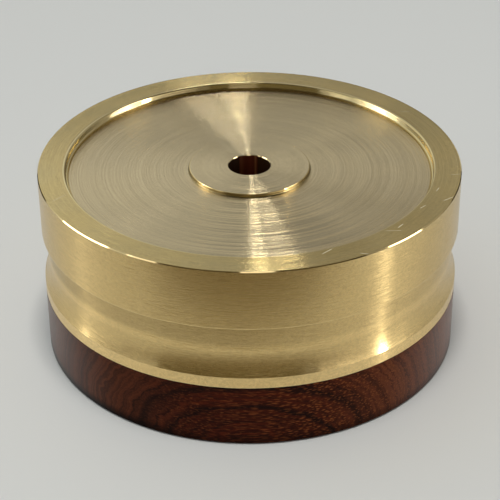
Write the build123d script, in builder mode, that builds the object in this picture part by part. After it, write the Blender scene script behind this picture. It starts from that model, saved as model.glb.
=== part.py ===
from build123d import *

import os

os.makedirs("parts", exist_ok=True)

# Record weight for a turntable: a turned brass weight bonded to a turned hardwood base.
# The origin is on the axis, at the face that lies on the record label. Lengths are millimetres.

# Driving dimensions: overall
outer_diameter = 75.0
spindle_diameter = 7.2
spindle_clearance = 0.15

# Driving dimensions: heights, from the record upwards
base_thickness = 11.5
foot_height = 2.15
flare_height = 4.95
neck_height = 4.6
band_height = 11.0

# Driving dimensions: neck and flare under the band, then rim, recess and centre boss
shoulder_depth = 1.0
neck_taper = 0.1
flare_radius = 11.0
rim_width = 4.9
recess_depth = 1.5
boss_diameter = 21.5
boss_drop = 0.85

# Driving dimensions: rounds and breaks left by the lathe tool and the polishing cloth
rim_edge_break = 0.25
shoulder_edge_break = 0.12
recess_lip_round = 0.5
boss_edge_break = 0.2
bore_edge_break = 0.15
seam_edge_break = 0.15
base_edge_break = 0.3
spindle_lead_in = 0.5

# Radii that the pieces share
outer_radius = outer_diameter / 2
bore_radius = spindle_diameter / 2 + spindle_clearance
recess_radius = outer_radius - rim_width
boss_radius = boss_diameter / 2
neck_radius = outer_radius - shoulder_depth

# Levels of the turned steps
seam_level = base_thickness
foot_top = seam_level + foot_height
flare_top = foot_top + flare_height
shoulder_level = flare_top + neck_height
rim_top = shoulder_level + band_height
recess_floor = rim_top - recess_depth
boss_top = rim_top - boss_drop

# Corners of the brass half section, as radius and height
bore_mouth = (bore_radius, boss_top)
boss_edge = (boss_radius, boss_top)
boss_foot = (boss_radius, recess_floor)
recess_corner = (recess_radius, recess_floor)
recess_lip = (recess_radius, rim_top)
rim_edge = (outer_radius, rim_top)
shoulder_edge = (outer_radius, shoulder_level)
neck_top = (neck_radius, shoulder_level)
neck_foot = (neck_radius + neck_taper, flare_top)
foot_edge = (outer_radius, foot_top)
foot_seam = (outer_radius, seam_level)
bore_seam = (bore_radius, seam_level)

# Corners of the wooden half section
base_seam = (outer_radius, seam_level)
base_edge = (outer_radius, 0)
base_bore_mouth = (bore_radius, 0)


def corner(profile, point):
    """The vertex of a half section that stands at a named corner."""
    return profile.vertices().sort_by_distance((*point, 0))[0]


# Brass weight: one turned piece with a raised rim, a recessed face, a centre boss,
# and a neck under its band that flares out again to a narrow foot
with BuildPart() as brass_weight:
    with BuildSketch(Plane.XZ) as weight_section:
        with BuildLine():
            Polyline(neck_foot, neck_top, shoulder_edge, rim_edge, recess_lip, recess_corner)
            Polyline(recess_corner, boss_foot, boss_edge, bore_mouth, bore_seam, foot_seam, foot_edge)
            RadiusArc(foot_edge, neck_foot, flare_radius)
        make_face()
        fillet(corner(weight_section, recess_lip), recess_lip_round)
        for point, length in (
            (rim_edge, rim_edge_break),
            (shoulder_edge, shoulder_edge_break),
            (boss_edge, boss_edge_break),
            (foot_seam, seam_edge_break),
            (bore_mouth, bore_edge_break),
        ):
            chamfer(corner(weight_section, point), length)
    revolve(axis=Axis.Z)

# Wooden base: a turned disc, flush with the brass, that carries the weight on the record label
with BuildPart() as wood_base:
    with BuildSketch(Plane.XZ) as base_section:
        with BuildLine():
            Polyline(base_bore_mouth, base_edge, base_seam, bore_seam, close=True)
        make_face()
        for point, length in (
            (base_edge, base_edge_break),
            (base_bore_mouth, spindle_lead_in),
        ):
            chamfer(corner(base_section, point), length)
    revolve(axis=Axis.Z)

brass_weight.part.label = "brass_weight"
export_step(brass_weight.part, "parts/brass_weight.step")
wood_base.part.label = "wood_base"
export_step(wood_base.part, "parts/wood_base.step")
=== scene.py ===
"""Record weight for a turntable: turned brass on a hardwood base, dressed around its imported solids.

Lengths are metres, +Z is up, and the origin is on the axis, at the face that lies on the record.
"""

import logging
import math
from dataclasses import dataclass
from enum import Enum
from typing import Mapping, Sequence, Union

import bpy
import numpy as np
from mathutils import Matrix, Vector


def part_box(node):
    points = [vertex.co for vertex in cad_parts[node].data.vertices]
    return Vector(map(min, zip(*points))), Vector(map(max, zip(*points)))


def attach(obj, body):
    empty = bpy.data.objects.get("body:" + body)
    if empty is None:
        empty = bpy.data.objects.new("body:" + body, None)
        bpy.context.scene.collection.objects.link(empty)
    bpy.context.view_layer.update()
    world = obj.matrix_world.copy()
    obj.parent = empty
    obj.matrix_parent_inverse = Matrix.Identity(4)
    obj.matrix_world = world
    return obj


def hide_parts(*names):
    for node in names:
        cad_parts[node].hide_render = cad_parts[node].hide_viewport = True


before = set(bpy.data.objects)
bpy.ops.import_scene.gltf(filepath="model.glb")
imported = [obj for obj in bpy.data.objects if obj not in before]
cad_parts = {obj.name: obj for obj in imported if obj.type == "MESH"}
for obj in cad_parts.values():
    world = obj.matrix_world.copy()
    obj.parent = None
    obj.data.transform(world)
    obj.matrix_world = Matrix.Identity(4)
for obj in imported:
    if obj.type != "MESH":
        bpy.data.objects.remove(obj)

LOG = logging.getLogger("record_weight")
MM = 0.001
BODY = "root"
FLAT = (1.0, 1.0, 0.0)

Colour = tuple[float, float, float]
Point = tuple[float, float]
Operand = Union["Signal", float, Sequence[float]]


class Zone(Enum):
    """Faces of the turned pieces that carry a finish of their own."""

    RIM = "rim"
    FACE = "face"
    SIDE = "side"
    FOOT = "foot"
    EDGE = "edge"
    LIP = "lip"
    WALL = "wall"
    STEP = "step"
    BORE = "bore"
    WOOD = "wood"


class Edge(Enum):
    """Ways in which a corner of a half section is finished."""

    SHARP = "sharp"
    ROUND = "round"
    BREAK = "break"


class LampUse(Enum):
    """What a lamp is for: to light matt faces, or to show in shiny ones."""

    FILL = "fill"
    SHINE = "shine"


class Signal:
    """One output socket of a shader tree, with arithmetic that adds the nodes it needs."""

    RANK = {"VALUE": 0, "VECTOR": 1, "RGBA": 2}

    def __init__(self, graph: "Graph", socket: bpy.types.NodeSocket) -> None:
        """Keep the tree and the socket."""
        self.graph = graph
        self.socket = socket

    def _join(self, operation: str, left: Operand, right: Operand) -> "Signal":
        """Add the node that joins two operands.

        Args:
            operation: name of the operation, such as ADD.
            left: first operand.
            right: second operand.

        Returns:
            The socket of the result: a colour or a vector where an operand is one.
        """
        kinds = [side.socket.type for side in (left, right) if isinstance(side, Signal)]
        kind = max(kinds, key=lambda name: Signal.RANK.get(name, 0))
        if kind == "RGBA":
            settings = {"data_type": "RGBA", "blend_type": operation}
            return self.graph.node("ShaderNodeMix", settings, {0: 1.0, 6: left, 7: right}, 2)
        family = "ShaderNodeVectorMath" if kind == "VECTOR" else "ShaderNodeMath"
        return self.graph.node(family, {"operation": operation}, {0: left, 1: right})

    def __add__(self, other: Operand) -> "Signal":
        """This plus another."""
        return self._join("ADD", self, other)

    def __radd__(self, other: Operand) -> "Signal":
        """Another plus this."""
        return self._join("ADD", other, self)

    def __sub__(self, other: Operand) -> "Signal":
        """This less another."""
        return self._join("SUBTRACT", self, other)

    def __rsub__(self, other: Operand) -> "Signal":
        """Another less this."""
        return self._join("SUBTRACT", other, self)

    def __mul__(self, other: Operand) -> "Signal":
        """This times another."""
        return self._join("MULTIPLY", self, other)

    def __rmul__(self, other: Operand) -> "Signal":
        """Another times this."""
        return self._join("MULTIPLY", other, self)

    def __truediv__(self, other: Operand) -> "Signal":
        """This divided by another."""
        return self._join("DIVIDE", self, other)

    def __rtruediv__(self, other: Operand) -> "Signal":
        """Another divided by this."""
        return self._join("DIVIDE", other, self)


class Graph:
    """The shader tree of a material or of the world."""

    def __init__(self, tree: bpy.types.NodeTree) -> None:
        """Empty the tree and keep it."""
        tree.nodes.clear()
        self.tree = tree

    def feed(self, socket: bpy.types.NodeSocket, value: Operand) -> None:
        """Link a socket, or set its value.

        Args:
            socket: input socket.
            value: a signal to link, or a number or sequence to set. A number fills every channel.
        """
        if isinstance(value, Signal):
            self.tree.links.new(value.socket, socket)
            return
        if socket.type == "RGBA":
            channels = [value] * 3 if isinstance(value, (int, float)) else list(value)[:3]
            socket.default_value = (*channels, 1.0)
        elif socket.type == "VECTOR":
            socket.default_value = [value] * 3 if isinstance(value, (int, float)) else list(value)
        else:
            socket.default_value = value

    def node(
        self,
        kind: str,
        settings: Mapping[str, object] | None = None,
        inputs: Mapping[int | str, Operand] | None = None,
        output: int | str = 0,
    ) -> Signal | None:
        """Add a node.

        Args:
            kind: the node's type.
            settings: properties of the node, which are set first.
            inputs: sockets, by place or name, and what they take.
            output: place or name of the output that is wanted.

        Returns:
            That output, or None where the node has no output.
        """
        made = self.tree.nodes.new(kind)
        for name, value in (settings or {}).items():
            setattr(made, name, value)
        for key, value in (inputs or {}).items():
            self.feed(made.inputs[key], value)
        return Signal(self, made.outputs[output]) if len(made.outputs) else None

    def place(self) -> Signal:
        """Position on the piece, in metres."""
        return self.node("ShaderNodeTexCoord", output="Object")

    def part(self, vector: Signal, axis: str) -> Signal:
        """One component of a vector."""
        return self.node("ShaderNodeSeparateXYZ", None, {0: vector}, axis)

    def vector(self, x: Operand, y: Operand, z: Operand) -> Signal:
        """A vector of three components."""
        return self.node("ShaderNodeCombineXYZ", None, {0: x, 1: y, 2: z})

    def length(self, vector: Signal) -> Signal:
        """Length of a vector."""
        return self.node("ShaderNodeVectorMath", {"operation": "LENGTH"}, {0: vector}, "Value")

    def unit(self, vector: Signal) -> Signal:
        """A vector of the same direction with length 1."""
        return self.node("ShaderNodeVectorMath", {"operation": "NORMALIZE"}, {0: vector})

    def cross(self, left: Signal, right: Signal) -> Signal:
        """Cross product of two vectors."""
        return self.node("ShaderNodeVectorMath", {"operation": "CROSS_PRODUCT"}, {0: left, 1: right})

    def size(self, value: Signal) -> Signal:
        """A number without its sign."""
        return self.node("ShaderNodeMath", {"operation": "ABSOLUTE"}, {0: value})

    def swing(self, noise: Signal) -> Signal:
        """Noise that runs from 0 to 1, made to swing from -1 to 1."""
        return (noise - 0.5) * 2.0

    def noise(self, vector: Signal, detail: float) -> Signal:
        """Smooth noise from 0 to 1 with one bump per unit of the vector."""
        inputs = {"Vector": vector, "Scale": 1.0, "Detail": detail, "Roughness": 0.5}
        return self.node("ShaderNodeTexNoise", {"noise_dimensions": "3D"}, inputs)

    def step(self, value: Signal, low: float, high: float) -> Signal:
        """A smooth step from 0 at low to 1 at high."""
        inputs = {0: value, 1: low, 2: high, 3: 0.0, 4: 1.0}
        return self.node("ShaderNodeMapRange", {"interpolation_type": "SMOOTHSTEP"}, inputs)

    def mix(self, factor: Operand, first: Operand, second: Operand) -> Signal:
        """A colour between two colours."""
        settings = {"data_type": "RGBA", "blend_type": "MIX"}
        return self.node("ShaderNodeMix", settings, {0: factor, 6: first, 7: second}, 2)

    def bump(self, height: Signal, strength: float, distance: float) -> Signal:
        """A normal that follows a height."""
        inputs = {"Strength": strength, "Distance": distance, "Height": height}
        return self.node("ShaderNodeBump", None, inputs)

    def surface(self, **inputs: Operand) -> None:
        """Close the tree with a principled shader.

        Args:
            inputs: the shader's sockets, with underscores for spaces.
        """
        named = {name.replace("_", " "): value for name, value in inputs.items()}
        shader = self.node("ShaderNodeBsdfPrincipled", None, named)
        self.node("ShaderNodeOutputMaterial", None, {"Surface": shader})


def new_material(name: str) -> tuple[bpy.types.Material, Graph]:
    """Start a material.

    Args:
        name: the material's name.

    Returns:
        The material and its empty shader tree.
    """
    material = bpy.data.materials.new(name)
    material.use_nodes = True
    return material, Graph(material.node_tree)


@dataclass(frozen=True)
class Scratch:
    """A fine straight mark on a flat face: its middle, its direction in degrees and its size."""

    middle: Point
    angle: float
    length: float
    strength: float = 1.0
    width: float = 0.12 * MM

    def mark(self, graph: Graph, spot: Signal) -> Signal:
        """Where the mark shows.

        Args:
            graph: the shader tree.
            spot: position on the piece.

        Returns:
            A mask that is greatest in the middle of the mark.
        """
        turn = math.radians(self.angle)
        x = graph.part(spot, "X") - self.middle[0]
        y = graph.part(spot, "Y") - self.middle[1]
        along = graph.size(x * math.cos(turn) + y * math.sin(turn))
        across = graph.size(y * math.cos(turn) - x * math.sin(turn))
        ends = 1.0 - graph.step(along, 0.25 * self.length, 0.5 * self.length)
        sides = 1.0 - graph.step(across, 0.0, self.width)
        return ends * sides * self.strength


@dataclass(frozen=True)
class PaintedNeckLight:
    """Painted light on the neck: painted shade, darkest under the shoulder and stronger on the left, and
    a painted highlight where the flare starts.
    """

    top: float
    foot: float
    edge: float = 0.1 * MM
    rise: float = 1.6 * MM
    left_end: float = -20.0 * MM
    right_end: float = 8.0 * MM
    least: float = 0.04
    left_share: float = 0.15
    highlight_core: float = 0.2 * MM
    highlight_reach: float = 1.3 * MM
    highlight_share: float = 0.13

    def share(self, graph: Graph, spot: Signal) -> Signal:
        """How much the painted shade darkens the brass.

        Args:
            graph: the shader tree.
            spot: position on the piece.

        Returns:
            The share that it takes: more on the left, and below 0 in the painted highlight, which
                brightens the brass.
        """
        height = graph.part(spot, "Z")
        # Painted shade under the shoulder's overhang, stronger on the left.
        under = 1.0 - graph.step(height, self.top - self.edge, self.top)
        over = graph.step(height, self.foot, self.foot + self.rise)
        left = 1.0 - graph.step(graph.part(spot, "X"), self.left_end, self.right_end)
        # Painted highlight along the foot of the neck, where the flare starts.
        painted_highlight = 1.0 - graph.step(graph.size(height - self.foot), self.highlight_core, self.highlight_reach)
        return under * over * (self.least + left * self.left_share) - painted_highlight * self.highlight_share


@dataclass(frozen=True)
class TurnedBrass:
    """Brass as the lathe tool leaves it.

    The grooves around the axis are too fine to tell apart, and spread what the brass reflects. The
    rings are coarser lines that show, most of all in the bright wedge at the front of a flat face,
    where their colour carries painted highlight lines.
    """

    name: str
    colour: Colour
    worn: Colour
    fine: float
    coarse: float
    coarse_share: float
    pitch: float
    anisotropy: float = 1.0
    run: float = 150.0 * MM
    groove_slope: float = 0.0
    lean: float = 0.0
    ring_pitch: float = 0.35 * MM
    ring_run: float = 60.0 * MM
    ring_slope: float = 0.0
    front_slope: float = 0.0
    line_share: float = 0.0
    wedge_highlight_line_share: float = 0.0
    grain_share: float = 0.0
    scratches: Sequence[Scratch] = ()
    # Painted shade and highlight on the neck, if any.
    painted_neck_light: PaintedNeckLight | None = None

    COARSE_TOP = 0.72
    COARSE_RANGE = 0.44
    COARSE_EDGE = 0.08
    FLANK_SHIFT = 5.0
    RING_SHIFT = 9.0
    CLOUD_SIZE = 9.0 * MM
    CLOUD_EDGES = (0.35, 0.7)
    CLOUD_SHARE = 0.6
    GRAIN_SIZE = 0.42 * MM
    WEDGE_WAY = (0.2, -0.98)
    WEDGE_EDGES = (0.78, 1.0)
    SCRATCH_COLOUR = (0.95, 0.86, 0.62)
    SCRATCH_DULLING = 0.7
    QUARTER_TURN = 0.25

    def material(self) -> bpy.types.Material:
        """Make the material.

        Returns:
            A metal whose roughness and slope change from groove to groove, with any scratches.
        """
        material, graph = new_material(self.name)
        spot = graph.place()
        lines = self.groove_noise(graph, spot, self.pitch, self.run, 0.0, 1.0)
        middle = self.COARSE_TOP - self.COARSE_RANGE * self.coarse_share
        coarse = graph.step(lines, middle - self.COARSE_EDGE, middle + self.COARSE_EDGE)
        flank = graph.swing(self.groove_noise(graph, spot, self.pitch, self.run, self.FLANK_SHIFT, 0.0))
        ring_noise = self.groove_noise(graph, spot, self.ring_pitch, self.ring_run, self.RING_SHIFT, 0.0)
        rings = graph.swing(ring_noise)
        front = self.front_weight(graph, spot)
        ring_slope = self.ring_slope + front * self.front_slope
        slope = flank * self.groove_slope + rings * ring_slope + self.lean
        # Painted highlight: in the bright front wedge the rings' colour lines are made stronger.
        colour = self.tone(graph, spot, rings * (self.line_share + front * self.wedge_highlight_line_share))
        metal: Operand = 1.0
        for scratch in self.scratches:
            mark = scratch.mark(graph, spot)
            colour = graph.mix(mark, colour, self.SCRATCH_COLOUR)
            metal = metal - mark * self.SCRATCH_DULLING
        graph.surface(
            Base_Color=colour,
            Metallic=metal,
            Roughness=coarse * (self.coarse - self.fine) + self.fine,
            Anisotropic=self.anisotropy,
            Anisotropic_Rotation=self.QUARTER_TURN,
            Normal=self.grooved_normal(graph, spot, slope),
        )
        return material

    @staticmethod
    def groove_noise(
        graph: Graph, spot: Signal, pitch: float, run: float, shift: float, detail: float
    ) -> Signal:
        """Noise in lines around the axis.

        Args:
            graph: the shader tree.
            spot: position on the piece.
            pitch: width of a line.
            run: length over which a line changes.
            shift: a number that sets this noise apart from others.
            detail: detail of the noise.

        Returns:
            The noise, from 0 to 1.
        """
        across = graph.length(spot * FLAT) + graph.part(spot, "Z")
        along_x = graph.part(spot, "X") / run + shift
        along_y = graph.part(spot, "Y") / run
        return graph.noise(graph.vector(across / pitch, along_x, along_y), detail)

    def front_weight(self, graph: Graph, spot: Signal) -> Signal:
        """How near a spot lies to the bright wedge at the front.

        Args:
            graph: the shader tree.
            spot: position on the piece.

        Returns:
            A weight that is 1 in the middle of the wedge and 0 well away from it.
        """
        outwards = graph.unit(spot * FLAT)
        along_x = graph.part(outwards, "X") * self.WEDGE_WAY[0]
        along_y = graph.part(outwards, "Y") * self.WEDGE_WAY[1]
        return graph.step(along_x + along_y, *self.WEDGE_EDGES)

    def tone(self, graph: Graph, spot: Signal, lines: Signal) -> Signal:
        """The colour of the brass without its scratches.

        Args:
            graph: the shader tree.
            spot: position on the piece.
            lines: share by which the rings lighten or darken it.

        Returns:
            The colour, with worn clouds, rings, grain, painted highlight lines in the front wedge and
            any painted shade and highlight on the neck.
        """
        cloud = graph.step(graph.noise(spot / self.CLOUD_SIZE, 2.0), *self.CLOUD_EDGES)
        colour = graph.mix(cloud * self.CLOUD_SHARE, self.colour, self.worn)
        grain = graph.swing(graph.noise(spot / self.GRAIN_SIZE, 1.0))
        colour = colour * (1.0 + lines + grain * self.grain_share)
        # Painted shade and painted highlight on the neck.
        if self.painted_neck_light is not None:
            colour = colour * (1.0 - self.painted_neck_light.share(graph, spot))
        return colour

    @staticmethod
    def grooved_normal(graph: Graph, spot: Signal, slope: Signal) -> Signal:
        """The surface normal, tilted across the grooves.

        Args:
            graph: the shader tree.
            spot: position on the piece.
            slope: slope of the groove's flank.

        Returns:
            The tilted normal.
        """
        facing = graph.node("ShaderNodeNewGeometry", output="Normal")
        around = graph.unit(graph.vector(0.0 - graph.part(spot, "Y"), graph.part(spot, "X"), 0.0))
        return graph.unit(facing + graph.cross(around, facing) * slope)


@dataclass(frozen=True)
class PolishedBrass:
    """Smooth brass, as on the broken edges and the step around the boss."""

    name: str
    colour: Colour
    roughness: float

    CLOUD_SIZE = 2.0 * MM
    LEAST_ROUGH = 0.7
    MORE_ROUGH = 0.6
    STAIN_EDGES = (0.4, 0.7)
    STAIN_SHARE = 0.3
    STAIN_TONE = 0.6

    def material(self) -> bpy.types.Material:
        """Make the material.

        Returns:
            A metal with a slightly uneven polish.
        """
        material, graph = new_material(self.name)
        cloud = graph.noise(graph.place() / self.CLOUD_SIZE, 3.0)
        stained = [value * self.STAIN_TONE for value in self.colour]
        stain = graph.step(cloud, *self.STAIN_EDGES) * self.STAIN_SHARE
        graph.surface(
            Base_Color=graph.mix(stain, self.colour, stained),
            Metallic=1.0,
            Roughness=self.roughness * (self.LEAST_ROUGH + self.MORE_ROUGH * cloud),
        )
        return material


@dataclass(frozen=True)
class BoreHighlightLine:
    """A painted highlight along the bore: its place across it, how far it reaches, and how strong it is.
    """

    place: float
    reach: float
    strength: float


@dataclass(frozen=True)
class BoreWithPaintedLight:
    """Dull brown brass in the bore with its light painted in: a redder lit band at its back and front,
    painted shade at its sides, and pale painted highlights along it.
    """

    name: str
    # band is the painted lit band, sides the painted shade, pale the colour of the painted highlights.
    band: Colour
    sides: Colour
    pale: Colour
    lines: Sequence[BoreHighlightLine]
    left: float = -1.9 * MM
    right: float = 1.35 * MM
    fade: float = 0.25 * MM

    STREAK_SCALE = (2500.0, 2500.0, 60.0)
    LEAST_TONE = 0.6
    MORE_TONE = 0.8
    LEAST_ROUGH = 0.35
    MORE_ROUGH = 0.2

    def material(self) -> bpy.types.Material:
        """Make the material.

        Returns:
            A dull metal with a painted lit band, painted shade towards the sides of the bore, and
            painted highlight lines.
        """
        material, graph = new_material(self.name)
        spot = graph.place()
        x = graph.part(spot, "X")
        from_left = graph.step(x, self.left, self.left + self.fade)
        to_right = 1.0 - graph.step(x, self.right, self.right + self.fade)
        # Painted light: a lit band across the middle of the bore, painted shade at its sides.
        tone = graph.mix(from_left * to_right, self.sides, self.band)
        # Painted highlights: pale lines along the bore.
        for line in self.lines:
            shine = 1.0 - graph.step(graph.size(x - line.place), 0.0, line.reach)
            tone = graph.mix(shine * line.strength, tone, self.pale)
        streak = graph.noise(spot * self.STREAK_SCALE, 1.0)
        graph.surface(
            Base_Color=tone * (self.LEAST_TONE + self.MORE_TONE * streak),
            Metallic=0.2,
            Roughness=self.LEAST_ROUGH + self.MORE_ROUGH * streak,
            Specular_IOR_Level=0.2,
        )
        return material


@dataclass(frozen=True)
class GrowthRing:
    """A growth ring that stands out: its radius about the pith, how far it reaches and its strength."""

    radius: float
    reach: float
    strength: float

    def shade(self, graph: Graph, distance: Signal) -> Signal:
        """How strongly the ring shows at a distance from the pith."""
        return (1.0 - graph.step(graph.size(distance - self.radius), 0.0, self.reach)) * self.strength


@dataclass(frozen=True)
class Hardwood:
    """Dark red-brown hardwood.

    Its fibres run along X, and its growth rings lie about the pith, a line in front of the disc. Scales
    are bumps per metre, and reaches are shares of the disc's radius.
    """

    name: str
    dark: Colour
    red: Colour
    brown: Colour
    tan: Colour
    pith: Point
    dark_rings: Sequence[GrowthRing]
    pale_ring: GrowthRing
    radius: float
    roughness: float

    SWAY_SCALE = (25.0, 90.0, 90.0)
    WAVER_SCALE = (130.0, 500.0, 500.0)
    FIBRE_SCALE = (160.0, 2400.0, 2400.0)
    PORE_SCALE = (700.0, 4300.0, 4300.0)
    VESSEL_SCALE = (520.0, 2700.0, 2700.0)
    SWAY = 2.0 * MM
    WAVER = 1.3 * MM
    FIBRE_SWAY = 0.4 * MM
    GRAIN_PITCH = 0.32 * MM
    GRAIN_RUN = 30.0 * MM
    GRAIN_EDGES = (0.40, 0.66)
    GRAIN_SHARE = 0.55
    FIBRE_EDGES = (0.40, 0.68)
    FIBRE_SHARE = 0.5
    FLECK_EDGES = (0.55, 0.70)
    FLECK_SHARE = 0.4
    VESSEL_EDGES = (0.12, 0.45)
    VESSEL_REACH = (-0.2, 0.4)
    LEFT_VESSELS = 0.14
    RIGHT_VESSELS = 0.8
    END_REACH = (0.2, 0.8)
    PALE_REACH = (-0.5, 0.3)
    LEFT_REACH = (0.0, 0.7)
    LEFT_SHADE = 0.42
    FOOT_EDGES = (0.4 * MM, 2.4 * MM)
    FOOT_SHADE = 0.55
    COAT_REACH = (0.58, 0.99)
    COAT = 0.95
    COAT_ROUGHNESS = 0.4
    ROUGHNESS_SWAY = 0.2
    PORE_STRENGTH = 0.25
    PORE_DEPTH = 0.1 * MM

    def material(self) -> bpy.types.Material:
        """Make the material.

        Returns:
            A satin wood with growth rings, fibres and open pores, browner where the fibres end.
        """
        material, graph = new_material(self.name)
        spot = graph.place()
        streak = graph.noise(spot * self.FIBRE_SCALE, 2.0)
        pores = graph.noise(spot * self.PORE_SCALE, 1.0)
        aside = graph.size(graph.part(spot, "X"))
        graph.surface(
            Base_Color=self.tone(graph, spot, streak, pores) * self.shading(graph, spot),
            Roughness=self.roughness + (streak - 0.5) * self.ROUGHNESS_SWAY,
            Specular_IOR_Level=0.04,
            Coat_Weight=self.between(graph, aside, self.COAT_REACH) * self.COAT,
            Coat_Roughness=self.COAT_ROUGHNESS,
            Normal=graph.bump(pores, self.PORE_STRENGTH, self.PORE_DEPTH),
        )
        return material

    def between(self, graph: Graph, value: Signal, reach: Point) -> Signal:
        """A smooth step between two shares of the disc's radius."""
        return graph.step(value, reach[0] * self.radius, reach[1] * self.radius)

    def shading(self, graph: Graph, spot: Signal) -> Signal:
        """How the wood darkens: painted shade at the foot, and darker on the left.

        Args:
            graph: the shader tree.
            spot: position on the piece.

        Returns:
            The share of its colour that it keeps.
        """
        # Painted shade: a contact shadow along the foot of the wood.
        foot = 1.0 - graph.step(graph.part(spot, "Z"), *self.FOOT_EDGES)
        left = self.between(graph, 0.0 - graph.part(spot, "X"), self.LEFT_REACH)
        return 1.0 - foot * self.FOOT_SHADE - left * self.LEFT_SHADE

    def distance(self, graph: Graph, spot: Signal, streak: Signal) -> Signal:
        """Distance from the pith, as the growth rings wander.

        Args:
            graph: the shader tree.
            spot: position on the piece.
            streak: noise along the fibres.

        Returns:
            The distance, in metres.
        """
        sway = graph.noise(spot * self.SWAY_SCALE, 1.0)
        waver = graph.noise(spot * self.WAVER_SCALE, 2.0)
        centred = spot * (0.0, 1.0, 1.0) - (0.0, self.pith[0], self.pith[1])
        wandering = graph.length(centred) + (sway - 0.5) * self.SWAY + (waver - 0.5) * self.WAVER
        return wandering + (streak - 0.5) * self.FIBRE_SWAY

    def tone(self, graph: Graph, spot: Signal, streak: Signal, pores: Signal) -> Signal:
        """The colour of the wood.

        Args:
            graph: the shader tree.
            spot: position on the piece.
            streak: noise along the fibres.
            pores: noise of the pores.

        Returns:
            The colour, with grain, growth rings, fibres, flecks and vessels.
        """
        x = graph.part(spot, "X")
        distance = self.distance(graph, spot, streak)
        late = self.dark_rings[0].shade(graph, distance)
        for mark in self.dark_rings[1:]:
            shade = mark.shade(graph, distance)
            late = late + shade - late * shade
        grain = graph.noise(graph.vector(distance / self.GRAIN_PITCH, x / self.GRAIN_RUN, 0.5), 2.0)
        cell_inputs = {"Vector": spot * self.VESSEL_SCALE, "Scale": 1.0}
        cells = graph.node("ShaderNodeTexVoronoi", None, cell_inputs)
        end = self.between(graph, graph.size(x), self.END_REACH)
        fibre = graph.step(streak, *self.FIBRE_EDGES)
        fleck = graph.step(pores, *self.FLECK_EDGES)
        vessel = 1.0 - graph.step(cells, *self.VESSEL_EDGES)
        right = self.between(graph, x, self.VESSEL_REACH)
        open_end = vessel * (self.LEFT_VESSELS + right * self.RIGHT_VESSELS)
        pale = self.pale_ring.shade(graph, distance) * self.between(graph, x, self.PALE_REACH)
        early = 1.0 - late * 0.5
        wood = graph.mix(end, self.red, self.brown)
        wood = graph.mix(graph.step(grain, *self.GRAIN_EDGES) * self.GRAIN_SHARE, wood, self.dark)
        wood = graph.mix(late, wood, self.dark)
        wood = graph.mix(fibre * (1.0 - end) * self.FIBRE_SHARE, wood, self.dark)
        wood = graph.mix(pale * (0.5 + vessel * 0.5), wood, self.tan)
        wood = graph.mix(fleck * early * (1.0 - end) * self.FLECK_SHARE, wood, self.tan)
        return graph.mix(open_end * early, wood, self.tan)


@dataclass(frozen=True)
class Corner:
    """A corner of a half section, the finish of its edge and the face that runs on from it."""

    radius: float
    height: float
    zone: Zone
    edge: Edge = Edge.SHARP
    size: float = 0.0
    edge_zone: Zone = Zone.EDGE
    hollow: float = 0.0


@dataclass(frozen=True)
class Strip:
    """A short piece of a half section: both ends, the outward normals there, and its finish."""

    start: Point
    end: Point
    start_normal: Point
    end_normal: Point
    zone: Zone


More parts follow.
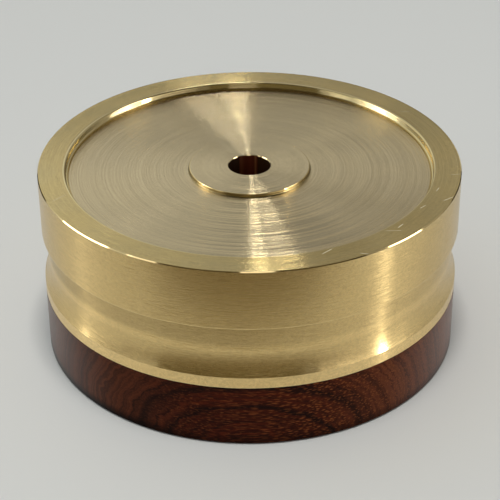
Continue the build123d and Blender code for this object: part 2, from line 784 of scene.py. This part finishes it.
class HalfSection:
    """A closed half section, drawn anticlockwise in radius and height."""

    ARC_STEP = math.radians(6.0)

    def __init__(self, corners: Sequence[Corner]) -> None:
        """Keep the corners."""
        self.corners = list(corners)

    @staticmethod
    def outward(start: Point, end: Point) -> Point:
        """The outward normal of a straight face.

        Args:
            start: where the face starts.
            end: where it ends.

        Returns:
            The normal, in radius and height.
        """
        run, rise = end[0] - start[0], end[1] - start[1]
        size = math.hypot(run, rise)
        return rise / size, -run / size

    @staticmethod
    def arc(
        centre: Point, first: float, last: float, radius: float, zone: Zone, inward: bool
    ) -> list[Strip]:
        """Strips of a circular arc.

        Args:
            centre: centre of the arc.
            first: angle of its start, in radians.
            last: angle of its end.
            radius: radius of the arc.
            zone: its finish.
            inward: true where the surface faces the centre.

        Returns:
            The strips from start to end.
        """
        count = max(2, math.ceil(abs(last - first) / HalfSection.ARC_STEP))
        sign = -1.0 if inward else 1.0
        angles = [first + (last - first) * step / count for step in range(count + 1)]
        rays = [(math.cos(angle), math.sin(angle)) for angle in angles]
        spots = [(centre[0] + radius * ray[0], centre[1] + radius * ray[1]) for ray in rays]
        normals = [(sign * ray[0], sign * ray[1]) for ray in rays]
        return [Strip(spots[i], spots[i + 1], normals[i], normals[i + 1], zone) for i in range(count)]

    def strips(self) -> list[Strip]:
        """The half section as strips.

        Returns:
            Strips in order: each face, then the finished edge of the corner at its end.
        """
        count = len(self.corners)
        ends = [self.edge_ends(i) for i in range(count)]
        result: list[Strip] = []
        for i in range(count):
            here, after = self.corners[i], self.corners[(i + 1) % count]
            start, end = ends[i][1], ends[(i + 1) % count][0]
            if here.hollow > 0.0:
                result += self.hollow_face(start, end, here)
            else:
                normal = self.outward(start, end)
                result.append(Strip(start, end, normal, normal, here.zone))
            result += self.edge_strips((i + 1) % count, end, ends[(i + 1) % count][1], after)
        return result

    def direction(self, index: int, step: int) -> Point:
        """Unit direction from a corner along one of its faces.

        Args:
            index: place of the corner in the half section.
            step: -1 for the face before the corner, 1 for the face after it.

        Returns:
            The direction, in radius and height.
        """
        count = len(self.corners)
        here, other = self.corners[index], self.corners[(index + step) % count]
        run, rise = other.radius - here.radius, other.height - here.height
        size = math.hypot(run, rise)
        return run / size, rise / size

    def edge_ends(self, index: int) -> tuple[Point, Point]:
        """Where the finished edge of a corner starts and ends.

        Args:
            index: place of the corner in the half section.

        Returns:
            Its start on the face before the corner and its end on the face after it.
        """
        here = self.corners[index]
        back, ahead = self.direction(index, -1), self.direction(index, 1)
        trim = here.size if here.edge is not Edge.SHARP else 0.0
        if here.edge is Edge.ROUND:
            trim = here.size / math.tan(self.opening(back, ahead) / 2.0)
        start = here.radius + back[0] * trim, here.height + back[1] * trim
        end = here.radius + ahead[0] * trim, here.height + ahead[1] * trim
        return start, end

    @staticmethod
    def opening(back: Point, ahead: Point) -> float:
        """The angle between the two faces of a corner, in radians."""
        return math.acos(max(-1.0, min(1.0, back[0] * ahead[0] + back[1] * ahead[1])))

    @staticmethod
    def sweep(centre: Point, start: Point, end: Point) -> tuple[float, float]:
        """The angles of an arc's two ends.

        Args:
            centre: centre of the arc.
            start: where it starts.
            end: where it ends.

        Returns:
            Both angles in radians, less than half a turn apart.
        """
        first = math.atan2(start[1] - centre[1], start[0] - centre[0])
        last = math.atan2(end[1] - centre[1], end[0] - centre[0])
        return first, last + math.tau * round((first - last) / math.tau)

    def edge_strips(self, index: int, start: Point, end: Point, corner: Corner) -> list[Strip]:
        """Strips of a finished edge.

        Args:
            index: place of the corner in the half section.
            start: where the edge starts.
            end: where it ends.
            corner: the corner.

        Returns:
            None where the edge is sharp, one strip where it is broken, and an arc where it is round.
        """
        if corner.edge is Edge.SHARP:
            return []
        if corner.edge is Edge.BREAK:
            normal = self.outward(start, end)
            return [Strip(start, end, normal, normal, corner.edge_zone)]
        back, ahead = self.direction(index, -1), self.direction(index, 1)
        left_turn = back[0] * ahead[1] - back[1] * ahead[0] < 0.0
        middle = back[0] + ahead[0], back[1] + ahead[1]
        size = math.hypot(*middle)
        reach = corner.size / math.sin(self.opening(back, ahead) / 2.0)
        centre = corner.radius + middle[0] / size * reach, corner.height + middle[1] / size * reach
        first, last = self.sweep(centre, start, end)
        return self.arc(centre, first, last, corner.size, corner.edge_zone, not left_turn)

    def hollow_face(self, start: Point, end: Point, corner: Corner) -> list[Strip]:
        """Strips of a hollow face, which is an arc that faces its own centre.

        Args:
            start: where the face starts.
            end: where it ends.
            corner: the corner before it, which has the radius of the hollow.

        Returns:
            The strips from start to end.
        """
        chord = math.dist(start, end)
        normal = self.outward(start, end)
        reach = math.sqrt(corner.hollow**2 - chord**2 / 4.0)
        middle = (start[0] + end[0]) / 2.0, (start[1] + end[1]) / 2.0
        centre = middle[0] + normal[0] * reach, middle[1] + normal[1] * reach
        first, last = self.sweep(centre, start, end)
        return self.arc(centre, first, last, corner.hollow, corner.zone, True)


class Turning:
    """A piece turned about Z from a half section."""

    SEGMENTS = 384

    def __init__(self, name: str, section: HalfSection) -> None:
        """Keep the name and the half section."""
        self.name = name
        self.section = section

    def build(self, materials: Mapping[Zone, bpy.types.Material]) -> bpy.types.Object:
        """Make the mesh.

        Args:
            materials: a material for each zone of the half section.

        Returns:
            The object, linked to the scene, with exact normals on its rounds.
        """
        strips = self.section.strips()
        angles = np.arange(self.SEGMENTS) * (math.tau / self.SEGMENTS)
        rays = np.stack([np.cos(angles), np.sin(angles)], axis=1)
        count, turns = len(strips), self.SEGMENTS
        spots = self.spin(np.array([strip.start for strip in strips]), rays)
        here = np.arange(count)[:, None] * turns
        above = (np.arange(1, count + 1) % count)[:, None] * turns
        column = np.arange(turns)[None, :]
        beside = (column + 1) % turns
        quads = np.stack([here + column, here + beside, above + beside, above + column], axis=2)
        mesh = bpy.data.meshes.new(self.name)
        mesh.from_pydata(spots.reshape(-1, 3).tolist(), [], quads.reshape(-1, 4).tolist())
        zones = list(dict.fromkeys(strip.zone for strip in strips))
        for zone in zones:
            mesh.materials.append(materials[zone])
        order = np.repeat([zones.index(strip.zone) for strip in strips], turns)
        mesh.polygons.foreach_set("material_index", order.astype(np.int32))
        mesh.polygons.foreach_set("use_smooth", np.ones(count * turns, dtype=bool))
        mesh.update()
        mesh.normals_split_custom_set(self.loop_normals(strips, rays).tolist())
        piece = bpy.data.objects.new(self.name, mesh)
        bpy.context.scene.collection.objects.link(piece)
        return piece

    @staticmethod
    def spin(pairs: np.ndarray, rays: np.ndarray) -> np.ndarray:
        """Spin points or normals of the half section about Z.

        Args:
            pairs: radius and height of each.
            rays: unit vectors of the turn.

        Returns:
            One row for each pair, with a vector for each ray.
        """
        spun = np.empty((len(pairs), len(rays), 3))
        spun[:, :, :2] = pairs[:, None, :1] * rays[None, :, :]
        spun[:, :, 2] = pairs[:, 1:2]
        return spun

    def loop_normals(self, strips: Sequence[Strip], rays: np.ndarray) -> np.ndarray:
        """Outward normals of every face corner.

        Args:
            strips: the half section.
            rays: unit vectors of the turn.

        Returns:
            One normal per face corner, in the order of the faces.
        """
        starts = np.array([strip.start_normal for strip in strips])
        ends = np.array([strip.end_normal for strip in strips])
        following = np.roll(rays, -1, axis=0)
        corners = ((starts, rays), (starts, following), (ends, following), (ends, rays))
        loops = [self.spin(normals, turn) for normals, turn in corners]
        return np.stack(loops, axis=2).reshape(-1, 3)


@dataclass(frozen=True)
class BrassWeight:
    """The turned brass: raised rim, recessed face, centre boss, band, shoulder, neck, flare and foot."""

    outer_radius: float
    top: float
    seam: float
    foot_height: float = 2.15 * MM
    flare_height: float = 4.95 * MM
    neck_height: float = 4.6 * MM
    shoulder_depth: float = 1.0 * MM
    neck_taper: float = 0.1 * MM
    flare_radius: float = 11.0 * MM
    rim_width: float = 4.9 * MM
    recess_depth: float = 1.5 * MM
    boss_radius: float = 10.75 * MM
    boss_drop: float = 0.85 * MM
    bore_radius: float = 3.75 * MM
    rim_break: float = 0.16 * MM
    lip_round: float = 0.45 * MM
    floor_fillet: float = 0.5 * MM
    boss_round: float = 0.16 * MM
    boss_fillet: float = 0.2 * MM
    bore_break: float = 0.1 * MM
    shoulder_round: float = 0.2 * MM
    seam_round: float = 0.2 * MM

    def neck_level(self) -> float:
        """Height of the foot of the neck, where the flare starts."""
        return self.seam + self.foot_height + self.flare_height

    def shoulder_level(self) -> float:
        """Height of the shoulder under the band."""
        return self.neck_level() + self.neck_height

    def section(self) -> HalfSection:
        """The half section of the brass.

        Returns:
            Corners from the seam at the bore, outwards and up around the side, and back over the top.
        """
        outer, bore = self.outer_radius, self.bore_radius
        neck = outer - self.shoulder_depth
        foot_top = self.seam + self.foot_height
        neck_foot, shoulder = self.neck_level(), self.shoulder_level()
        floor = self.top - self.recess_depth
        boss_top = self.top - self.boss_drop
        recess = outer - self.rim_width
        corners = [
            Corner(bore, self.seam, Zone.FOOT),
            Corner(outer, self.seam, Zone.FOOT, Edge.ROUND, self.seam_round),
            Corner(outer, foot_top, Zone.SIDE, hollow=self.flare_radius),
            Corner(neck + self.neck_taper, neck_foot, Zone.SIDE),
            Corner(neck, shoulder, Zone.SIDE),
            Corner(outer, shoulder, Zone.SIDE, Edge.ROUND, self.shoulder_round),
            Corner(outer, self.top, Zone.RIM, Edge.BREAK, self.rim_break),
            Corner(recess, self.top, Zone.WALL, Edge.ROUND, self.lip_round, Zone.LIP),
            Corner(recess, floor, Zone.FACE, Edge.ROUND, self.floor_fillet, Zone.WALL),
            Corner(self.boss_radius, floor, Zone.STEP, Edge.ROUND, self.boss_fillet, Zone.STEP),
            Corner(self.boss_radius, boss_top, Zone.FACE, Edge.ROUND, self.boss_round, Zone.EDGE),
            Corner(bore, boss_top, Zone.BORE, Edge.BREAK, self.bore_break),
        ]
        return HalfSection(corners)

    @staticmethod
    def handling_marks() -> tuple[Scratch, ...]:
        """The marks on the rim, most of them at the front right.

        Returns:
            One scratch for each mark.
        """
        return (
            Scratch((12.4 * MM, -31.3 * MM), 43.0, 3.0 * MM),
            Scratch((18.6 * MM, -32.1 * MM), -13.0, 2.6 * MM, 0.8),
            Scratch((23.6 * MM, -24.9 * MM), 0.0, 3.8 * MM, 0.6),
            Scratch((24.9 * MM, -23.3 * MM), 51.0, 2.0 * MM),
            Scratch((29.2 * MM, -17.0 * MM), 44.0, 1.9 * MM, 0.8),
            Scratch((33.8 * MM, -14.3 * MM), 36.0, 3.0 * MM, 0.8),
            Scratch((32.3 * MM, -11.0 * MM), 65.0, 1.9 * MM, 0.7),
            Scratch((36.0 * MM, -5.6 * MM), 5.0, 2.2 * MM, 0.5),
            Scratch((29.3 * MM, 19.3 * MM), -4.0, 2.4 * MM, 0.5),
            Scratch((-32.5 * MM, -13.1 * MM), 48.0, 3.9 * MM, 0.4),
        )

    def finishes(self) -> dict[Zone, TurnedBrass | PolishedBrass | BoreWithPaintedLight]:
        """The finishes of the brass.

        Returns:
            A finish for each zone of the half section.
        """
        return {
            Zone.RIM: TurnedBrass(
                "brass_rim", (0.75, 0.58, 0.255), (0.69, 0.55, 0.265), 0.14, 0.22, 0.4,
                pitch=0.008 * MM, run=60.0 * MM, groove_slope=0.6, lean=0.04,
                ring_pitch=0.5 * MM, ring_run=3.0 * MM, ring_slope=0.02, front_slope=0.05,
                line_share=0.06, grain_share=0.1, scratches=self.handling_marks(),
            ),
            Zone.FACE: TurnedBrass(
                "brass_face", (0.75, 0.615, 0.37), (0.71, 0.585, 0.36), 0.14, 0.22, 0.4,
                pitch=0.008 * MM, run=60.0 * MM, groove_slope=0.6,
                ring_pitch=0.4 * MM, ring_run=25.0 * MM, ring_slope=0.008, front_slope=0.14,
                # The face's rings carry painted highlight lines in the bright front wedge.
                line_share=0.055, wedge_highlight_line_share=0.32, grain_share=0.08,
            ),
            Zone.LIP: TurnedBrass(
                "brass_lip", (0.84, 0.69, 0.36), (0.80, 0.65, 0.32), 0.13, 0.24, 0.4,
                pitch=0.08 * MM, anisotropy=0.85, lean=0.35, ring_pitch=0.15 * MM, ring_slope=0.08,
            ),
            Zone.WALL: TurnedBrass(
                "brass_wall", (0.84, 0.69, 0.36), (0.80, 0.65, 0.32), 0.13, 0.24, 0.4,
                pitch=0.008 * MM, groove_slope=0.4, lean=0.6, ring_pitch=0.15 * MM, ring_slope=0.08,
            ),
            Zone.SIDE: TurnedBrass(
                "brass_side", (0.76, 0.56, 0.25), (0.72, 0.53, 0.24), 0.18, 0.38, 0.32,
                pitch=0.01 * MM, run=3.0 * MM, grain_share=0.2,
                # The neck carries painted shade under the shoulder and a painted highlight where the
                # flare starts.
                painted_neck_light=PaintedNeckLight(self.shoulder_level(), self.neck_level()),
            ),
            Zone.FOOT: TurnedBrass(
                "brass_foot", (0.90, 0.66, 0.30), (0.86, 0.64, 0.30), 0.20, 0.36, 0.15,
                pitch=0.01 * MM, run=3.0 * MM, grain_share=0.25,
            ),
            Zone.EDGE: PolishedBrass("brass_edge", (0.93, 0.74, 0.38), 0.07),
            # Painted shade: the step around the boss is much darker brass, standing in for the dark
            # reflections in its narrow wall.
            Zone.STEP: PolishedBrass("brass_step", (0.45, 0.355, 0.175), 0.24),
            # Painted light in the bore: a lit band, shaded sides and pale highlight lines.
            Zone.BORE: BoreWithPaintedLight(
                "brass_bore", (0.095, 0.017, 0.005), (0.036, 0.012, 0.002), (0.19, 0.066, 0.022),
                (BoreHighlightLine(-1.4 * MM, 0.6 * MM, 0.4), BoreHighlightLine(1.1 * MM, 0.35 * MM, 1.0)),
            ),
        }

    def build(self) -> bpy.types.Object:
        """Make and dress the brass.

        Returns:
            The piece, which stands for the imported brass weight.
        """
        materials = {zone: finish.material() for zone, finish in self.finishes().items()}
        piece = Turning("turned_brass", self.section()).build(materials)
        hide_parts("brass_weight")
        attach(piece, BODY)
        return piece


@dataclass(frozen=True)
class WoodBase:
    """The turned hardwood disc under the brass."""

    outer_radius: float
    top: float
    bore_radius: float = 3.75 * MM
    base_break: float = 0.3 * MM
    lead_in: float = 0.5 * MM

    def section(self) -> HalfSection:
        """The half section of the wood.

        Returns:
            Corners from the bore's mouth underneath, around the disc.
        """
        return HalfSection(
            [
                Corner(self.bore_radius, 0.0, Zone.WOOD, Edge.BREAK, self.lead_in, Zone.WOOD),
                Corner(self.outer_radius, 0.0, Zone.WOOD, Edge.BREAK, self.base_break, Zone.WOOD),
                Corner(self.outer_radius, self.top, Zone.WOOD),
                Corner(self.bore_radius, self.top, Zone.WOOD),
            ]
        )

    def build(self) -> bpy.types.Object:
        """Make and dress the wood.

        Returns:
            The piece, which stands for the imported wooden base.
        """
        finish = Hardwood(
            name="oiled_hardwood",
            dark=(0.010, 0.004, 0.003),
            red=(0.088, 0.0139, 0.0046),
            brown=(0.185, 0.0525, 0.0213),
            tan=(0.27, 0.076, 0.022),
            pith=(-47.0 * MM, 1.0 * MM),
            dark_rings=(
                # This ring crosses the front of the wood near its foot: partly a dark growth ring,
                # partly painted shade from the floor there.
                GrowthRing(9.3 * MM, 0.4 * MM, 0.7),
                GrowthRing(9.9 * MM, 0.2 * MM, 0.55),
                GrowthRing(10.3 * MM, 0.2 * MM, 0.5),
                GrowthRing(10.8 * MM, 0.25 * MM, 0.55),
                GrowthRing(11.3 * MM, 0.2 * MM, 0.45),
                GrowthRing(12.1 * MM, 0.42 * MM, 0.9),
                GrowthRing(13.2 * MM, 0.3 * MM, 0.45),
                GrowthRing(14.4 * MM, 1.0 * MM, 0.85),
                GrowthRing(15.5 * MM, 0.35 * MM, 0.6),
                GrowthRing(16.6 * MM, 0.3 * MM, 0.4),
                GrowthRing(18.2 * MM, 0.4 * MM, 0.3),
                GrowthRing(23.6 * MM, 0.6 * MM, 0.3),
                GrowthRing(27.5 * MM, 0.8 * MM, 0.3),
            ),
            pale_ring=GrowthRing(20.8 * MM, 0.7 * MM, 0.6),
            radius=self.outer_radius,
            roughness=0.42,
        )
        piece = Turning("turned_wood", self.section()).build({Zone.WOOD: finish.material()})
        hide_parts("wood_base")
        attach(piece, BODY)
        return piece


@dataclass(frozen=True)
class Softbox:
    """A square or oblong soft lamp that faces the object."""

    name: str
    azimuth: float
    elevation: float
    distance: float
    width: float
    height: float
    radiance: float
    use: LampUse = LampUse.SHINE
    colour: Colour = (1.0, 0.98, 0.95)

    def build(self, target: Vector) -> bpy.types.Object:
        """Place the lamp.

        Args:
            target: the point that it faces.

        Returns:
            The lamp.
        """
        turn, rise = math.radians(self.azimuth), math.radians(self.elevation)
        ray = Vector((math.cos(rise) * math.cos(turn), math.cos(rise) * math.sin(turn), math.sin(rise)))
        light = bpy.data.lights.new(self.name, "AREA")
        light.shape = "RECTANGLE"
        light.size = self.width
        light.size_y = self.height
        light.energy = self.radiance * math.pi * self.width * self.height
        light.color = self.colour
        lamp = bpy.data.objects.new(self.name, light)
        lamp.location = target + ray * self.distance
        lamp.rotation_euler = ray.to_track_quat("Z", "Y").to_euler()
        lamp.visible_camera = False
        lamp.visible_diffuse = self.use is LampUse.FILL
        lamp.visible_glossy = self.use is LampUse.SHINE
        bpy.context.scene.collection.objects.link(lamp)
        return lamp


@dataclass(frozen=True)
class Card:
    """A flat card: a matt floor, or a dark card that only shows in the metal's reflections."""

    name: str
    centre: tuple[float, float, float]
    width: float
    depth: float
    colour: Colour
    tilt: float = 0.0
    turn: float = 0.0
    glossy_only: bool = False

    MATT_ROUGHNESS = 0.75
    MATT_SPECULAR = 0.2

    def build(self) -> bpy.types.Object:
        """Place the card.

        Returns:
            The card, which is part of the stage.
        """
        material, graph = new_material(self.name)
        if self.glossy_only:
            glow = graph.node("ShaderNodeEmission", None, {"Color": self.colour, "Strength": 1.0})
            graph.node("ShaderNodeOutputMaterial", None, {"Surface": glow})
        else:
            graph.surface(
                Base_Color=self.colour,
                Roughness=self.MATT_ROUGHNESS,
                Specular_IOR_Level=self.MATT_SPECULAR,
            )
        x, y = self.width / 2.0, self.depth / 2.0
        mesh = bpy.data.meshes.new(self.name)
        mesh.from_pydata([(-x, -y, 0), (x, -y, 0), (x, y, 0), (-x, y, 0)], [], [(0, 1, 2, 3)])
        mesh.materials.append(material)
        card = bpy.data.objects.new(self.name, mesh)
        card.location = self.centre
        card.rotation_euler = (math.radians(self.tilt), 0.0, math.radians(self.turn))
        if self.glossy_only:
            card.visible_camera = False
            card.visible_diffuse = False
            card.visible_shadow = False
        bpy.context.scene.collection.objects.link(card)
        return card


@dataclass(frozen=True)
class Studio:
    """Pale floor, soft lamps and a surround that is brighter on the left."""

    right: Colour = (0.270, 0.260, 0.237)
    left: Colour = (0.585, 0.60, 0.59)
    blend: Point = (-0.17, 0.17)
    band_foot: Point = (0.26, 0.40)
    band_top: Point = (0.52, 0.68)
    level: float = 0.88
    band_gain: float = 0.30

    def build(self, target: Vector) -> None:
        """Place floor, cards and lamps, and light the surround.

        Args:
            target: the middle of the object.
        """
        cards = (
            Card("floor", (0.0, 0.0, 0.0), 6.0, 6.0, (0.665, 0.68, 0.675)),
            Card("front_card", (-0.20, -0.360, 0.0008), 0.6, 0.6, (0.15, 0.115, 0.05), 0.0, -4.0, True),
            Card("front_wall", (-0.20, -0.70, 0.40), 1.1, 0.8, (0.14, 0.12, 0.07), 90.0, 0.0, True),
            Card("front_roof", (0.0, -0.755, 1.12), 2.8, 0.75, (0.08, 0.065, 0.035), 34.0, 0.0, True),
            Card("ceiling", (0.0, -0.05, 1.25), 2.4, 0.9, (0.05, 0.04, 0.025), 0.0, 0.0, True),
            Card("left_low", (-0.705, 0.971, 0.15), 1.44, 0.30, (0.05, 0.045, 0.03), 90.0, 36.0, True),
            Card("right_low", (0.803, 0.892, 0.16), 1.44, 0.32, (0.05, 0.045, 0.03), 90.0, -42.0, True),
        )
        lamps = (
            Softbox("right_strip", -20.7, 13.0, 0.8, 0.06, 0.31, 30.0),
            Softbox("right_panel", -26.0, 14.0, 0.95, 0.70, 0.45, 1.0),
            Softbox("right_fade", -51.0, 14.0, 0.95, 0.16, 0.45, 0.55),
            Softbox("left_strip", 178.0, 12.0, 0.8, 0.07, 0.20, 9.0),
            Softbox("back_tube", 88.2, 54.8, 0.9, 0.028, 0.06, 22.0),
            Softbox("back_panel", 82.8, 54.8, 0.9, 0.052, 0.06, 10.5),
            Softbox("left_window", 170.5, 35.0, 0.9, 0.36, 0.38, 4.4),
            Softbox("left_front_window", -157.0, 46.0, 0.9, 0.18, 0.30, 1.1),
            Softbox("front_window", -85.0, 58.0, 0.9, 0.20, 0.26, 1.1),
            Softbox("right_window", 3.0, 36.0, 0.9, 0.24, 0.46, 4.6),
            Softbox("overhead", -85.0, 84.0, 0.9, 0.16, 0.16, 51.0, use=LampUse.FILL),
        )
        for card in cards:
            card.build()
        for lamp in lamps:
            lamp.build(target)
        self.light_surround()

    def light_surround(self) -> None:
        """Make the world: brighter on the left, and in a band above the horizon."""
        world = bpy.data.worlds.new("surround")
        world.use_nodes = True
        bpy.context.scene.world = world
        graph = Graph(world.node_tree)
        ray = graph.node("ShaderNodeTexCoord", output="Generated")
        left = graph.step(0.0 - graph.part(ray, "X"), *self.blend)
        rise = graph.part(ray, "Z")
        band = graph.step(rise, *self.band_foot) * (1.0 - graph.step(rise, *self.band_top))
        colour = graph.mix(left, self.right, self.left) * (self.level + band * self.band_gain)
        glow = graph.node("ShaderNodeBackground", None, {"Color": colour, "Strength": 1.0})
        graph.node("ShaderNodeOutputWorld", None, {"Surface": glow})


@dataclass(frozen=True)
class PhotoCamera:
    """The camera of the photograph."""

    place: tuple[float, float, float] = (0.0, -251.16 * MM, 167.34 * MM)
    pitch: float = 31.13
    roll: float = -0.387
    lens: float = 115.04
    sensor: float = 36.0

    def build(self) -> bpy.types.Object:
        """Place the camera.

        Returns:
            The camera, which is made the scene's own.
        """
        pitch, roll = math.radians(self.pitch), math.radians(self.roll)
        ahead = Vector((0.0, math.cos(pitch), -math.sin(pitch)))
        level = Vector((1.0, 0.0, 0.0))
        rise = level.cross(ahead)
        right = level * math.cos(roll) + rise * math.sin(roll)
        up = rise * math.cos(roll) - level * math.sin(roll)
        data = bpy.data.cameras.new("photo_camera")
        data.sensor_width = self.sensor
        data.lens = self.lens
        data.clip_start = 0.01
        camera = bpy.data.objects.new("photo_camera", data)
        turn = Matrix((right, up, -ahead)).transposed()
        camera.matrix_world = Matrix.Translation(self.place) @ turn.to_4x4()
        bpy.context.scene.collection.objects.link(camera)
        bpy.context.scene.camera = camera
        return camera


def main() -> None:
    """Build the pieces, the studio and the camera."""
    logging.basicConfig(level=logging.INFO, format="%(message)s")
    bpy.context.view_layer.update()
    low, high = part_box("brass_weight")
    weight = BrassWeight(outer_radius=high[0], top=high[2], seam=low[2])
    base = WoodBase(outer_radius=high[0], top=low[2])
    for piece in (weight.build(), base.build()):
        LOG.info("piece %s: %d faces", piece.name, len(piece.data.polygons))
    Studio().build(Vector((0.0, 0.0, high[2] / 2.0)))
    PhotoCamera().build()
    bpy.context.scene.view_settings.view_transform = "Standard"


if __name__ == "__main__":
    main()
